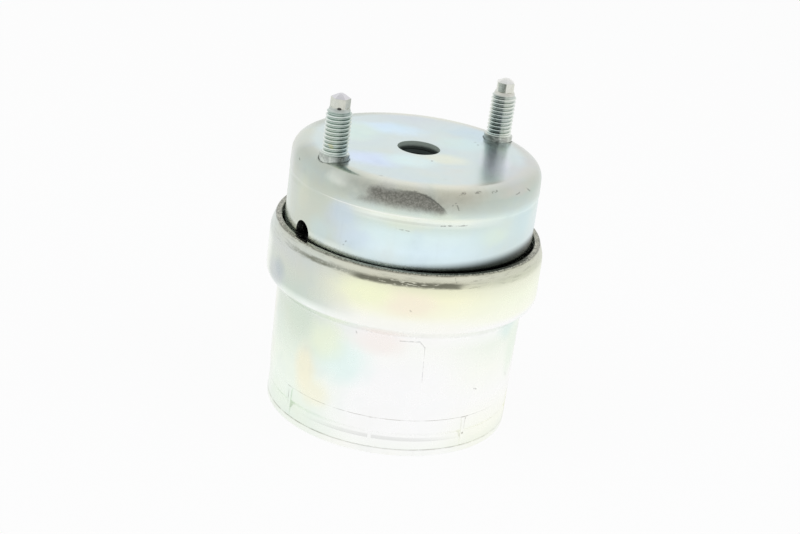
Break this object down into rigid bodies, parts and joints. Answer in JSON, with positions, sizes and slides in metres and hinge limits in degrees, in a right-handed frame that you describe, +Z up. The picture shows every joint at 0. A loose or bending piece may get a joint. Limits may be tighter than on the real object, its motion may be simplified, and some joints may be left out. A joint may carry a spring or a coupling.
{
  "type": "engine mount",
  "caption": "Hydraulic engine mount: a drawn steel cup with threaded studs sits on a rubber spring, held in the collar of a stepped zinc-plated can.",
  "frame": {"origin": "centre of the underside of the base plate", "axes": "+Z up along the mount's axis; the two studs stand on the X axis"},
  "size_m": [0.087, 0.087, 0.1083],
  "materials": {
    "zinc_steel": "bright zinc plate with a faint iridescent passivation",
    "stud_zinc": "zinc-plated threaded steel",
    "core_steel": "bare machined steel",
    "inner_steel": "plain pressed steel",
    "cast_aluminium": "die-cast",
    "black_rubber": "matt moulded rubber"
  },
  "bodies": {
    "root": {"upper_cup": "zinc_steel", "stud_left": "stud_zinc", "stud_right": "stud_zinc", "inner_core": "core_steel", "fill_ball": "inner_steel", "rubber_spring": "black_rubber", "spring_outer_ring": "cast_aluminium", "spacer_sleeve": "inner_steel", "track_seal": "black_rubber", "track_upper_plate": "inner_steel", "track_body": "cast_aluminium", "decoupler_membrane": "black_rubber", "track_rivets": "inner_steel", "diaphragm_ring": "inner_steel", "diaphragm": "black_rubber", "lower_housing": "zinc_steel", "base_plate": "zinc_steel", "base_bush": "stud_zinc"}
  },
  "joints": []
}
